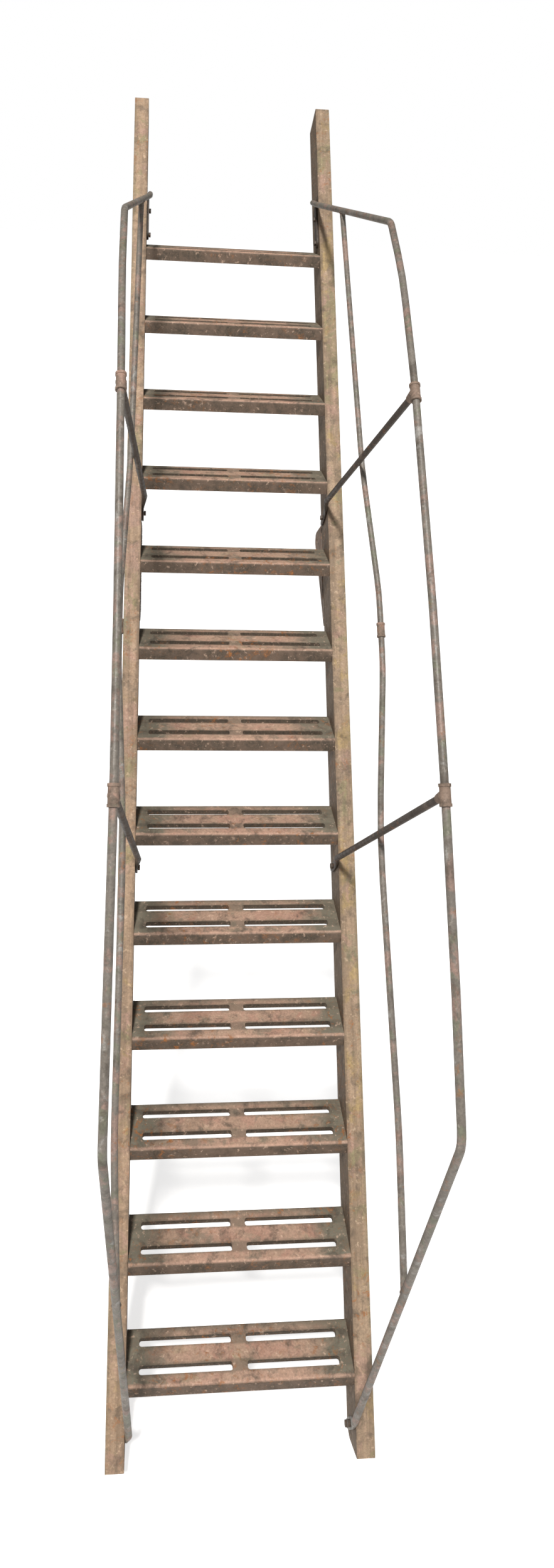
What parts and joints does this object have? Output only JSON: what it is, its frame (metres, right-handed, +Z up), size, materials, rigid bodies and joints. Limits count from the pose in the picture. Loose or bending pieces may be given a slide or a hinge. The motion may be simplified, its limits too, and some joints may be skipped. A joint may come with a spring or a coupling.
{
  "type": "library ladder",
  "caption": "Steep steel ladder stair: level slotted treads between channel stringers, with pipe handrails and mid rails carried on struts at each side.",
  "frame": {"origin": "centre of the bounding box in plan, at floor level, where the lower rear corners of the stringers stand", "axes": "+Z up, +X along the treads to the climber's right, +Y away from the climber, towards what the head leans on"},
  "size_m": [0.586, 2.3092, 2.6869],
  "materials": {
    "stringer": "weathered matt paint over steel",
    "tread": "worn matt paint with rust",
    "rail": "worn matt paint",
    "fitting": "rough, lightly rusted",
    "bolt": "dull, rusted"
  },
  "bodies": {
    "root": {"left_bracket_bolt_a": "bolt", "left_bracket_bolt_b": "bolt", "left_foot_bolt_a": "bolt", "left_foot_bolt_b": "bolt", "left_mid_coupling": "fitting", "left_mid_rail_lower": "rail", "left_mid_rail_upper": "rail", "left_rail_lower": "rail", "left_rail_middle": "rail", "left_rail_upper": "rail", "left_rear_lug": "fitting", "left_stringer": "stringer", "left_strut_bolt_lower": "bolt", "left_strut_bolt_upper": "bolt", "left_strut_lower": "rail", "left_strut_upper": "rail", "left_tee_lower": "fitting", "left_tee_upper": "fitting", "left_top_bracket": "fitting", "right_bracket_bolt_a": "bolt", "right_bracket_bolt_b": "bolt", "right_foot_bolt_a": "bolt", "right_foot_bolt_b": "bolt", "right_mid_coupling": "fitting", "right_mid_rail_lower": "rail", "right_mid_rail_upper": "rail", "right_rail_lower": "rail", "right_rail_middle": "rail", "right_rail_upper": "rail", "right_rear_lug": "fitting", "right_stringer": "stringer", "right_strut_bolt_lower": "bolt", "right_strut_bolt_upper": "bolt", "right_strut_lower": "rail", "right_strut_upper": "rail", "right_tee_lower": "fitting", "right_tee_upper": "fitting", "right_top_bracket": "fitting", "tread_01": "tread", "tread_02": "tread", "tread_03": "tread", "tread_04": "tread", "tread_05": "tread", "tread_06": "tread", "tread_07": "tread", "tread_08": "tread", "tread_09": "tread", "tread_10": "tread", "tread_11": "tread", "tread_12": "tread", "tread_13": "tread"}
  },
  "joints": []
}
